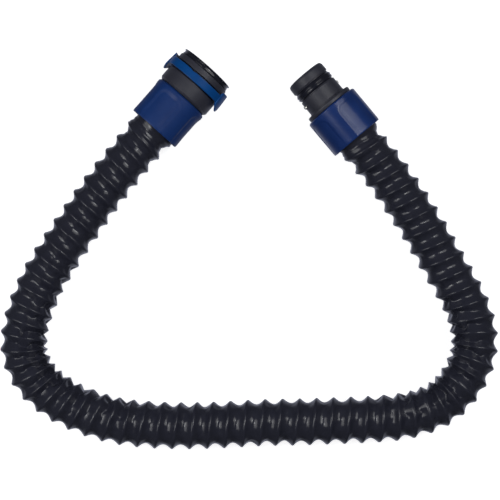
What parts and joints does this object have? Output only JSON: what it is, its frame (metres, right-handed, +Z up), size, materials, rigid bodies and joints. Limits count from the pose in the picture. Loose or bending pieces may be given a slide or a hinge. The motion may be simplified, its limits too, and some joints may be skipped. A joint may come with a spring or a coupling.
{
  "type": "respirator breathing hose",
  "caption": "Corrugated air hose with a quick-release swivel socket at the headgear end and a bayonet plug at the blower end, each behind a grip collar.",
  "frame": {"origin": "centre of the laid-out hose's footprint, on the surface that it lies on", "axes": "+Z up from the surface, +X along the longer side of the footprint from the headgear arm to the blower arm, +Y from the middle run of the hose towards the two fittings"},
  "size_m": [0.4043, 0.3254, 0.0498],
  "materials": {
    "hose_film": "glossy wrinkled polymer film",
    "spring_wire": "drawn spring wire",
    "seal_rubber": "soft moulded rubber",
    "collar_navy": "satin navy moulded plastic",
    "fitting_black": "fine-textured black moulded plastic",
    "release_blue": "satin mid-blue moulded plastic",
    "pin_steel": "bright turned steel"
  },
  "bodies": {
    "hose": {"hose_skin": "hose_film", "hose_support_wire": "spring_wire", "hose_cuff_headgear": "seal_rubber", "hose_cuff_blower": "seal_rubber", "grip_collar_headgear": "collar_navy", "grip_collar_blower": "collar_navy", "swivel_tail": "fitting_black", "swivel_o_ring": "seal_rubber", "swivel_retaining_ring": "pin_steel", "plug_body": "fitting_black", "plug_o_ring": "seal_rubber", "bayonet_pin_1": "pin_steel", "bayonet_pin_2": "pin_steel"},
    "socket": {"socket_body": "fitting_black", "socket_cap": "fitting_black", "socket_face_seal": "seal_rubber", "socket_mouth_seal": "seal_rubber"},
    "tab_left": {"release_tab_left": "release_blue"},
    "tab_right": {"release_tab_right": "release_blue"},
    "catch_front": {"release_band_front": "release_blue"},
    "catch_back": {"release_band_back": "release_blue"}
  },
  "joints": [
    {"name": "socket_swivel", "type": "hinge", "parent": "hose", "child": "socket", "pos_m": [-0.0466, 0.1315, 0.025], "axis": [0.6626, 0.749, 0], "continuous": true},
    {"name": "tab_left_press", "type": "slide", "parent": "socket", "child": "tab_left", "axis": [0.7376, -0.6526, 0.1736], "range_m": [0, 0.0018], "stiffness_N_per_m": 4000},
    {"name": "tab_right_press", "type": "slide", "parent": "socket", "child": "tab_right", "axis": [-0.7376, 0.6526, -0.1736], "range_m": [0, 0.0018]},
    {"name": "catch_front_lift", "type": "slide", "parent": "socket", "child": "catch_front", "axis": [-0.1301, 0.1151, 0.9848], "range_m": [0, 0.0012]},
    {"name": "catch_back_lift", "type": "slide", "parent": "socket", "child": "catch_back", "axis": [0.1301, -0.1151, -0.9848], "range_m": [0, 0.0012]}
  ],
  "couplings": [
    {"joint": "tab_right_press", "follows": "tab_left_press", "ratio": 1},
    {"joint": "catch_front_lift", "follows": "tab_left_press", "ratio": 0.6},
    {"joint": "catch_back_lift", "follows": "tab_left_press", "ratio": 0.6}
  ]
}
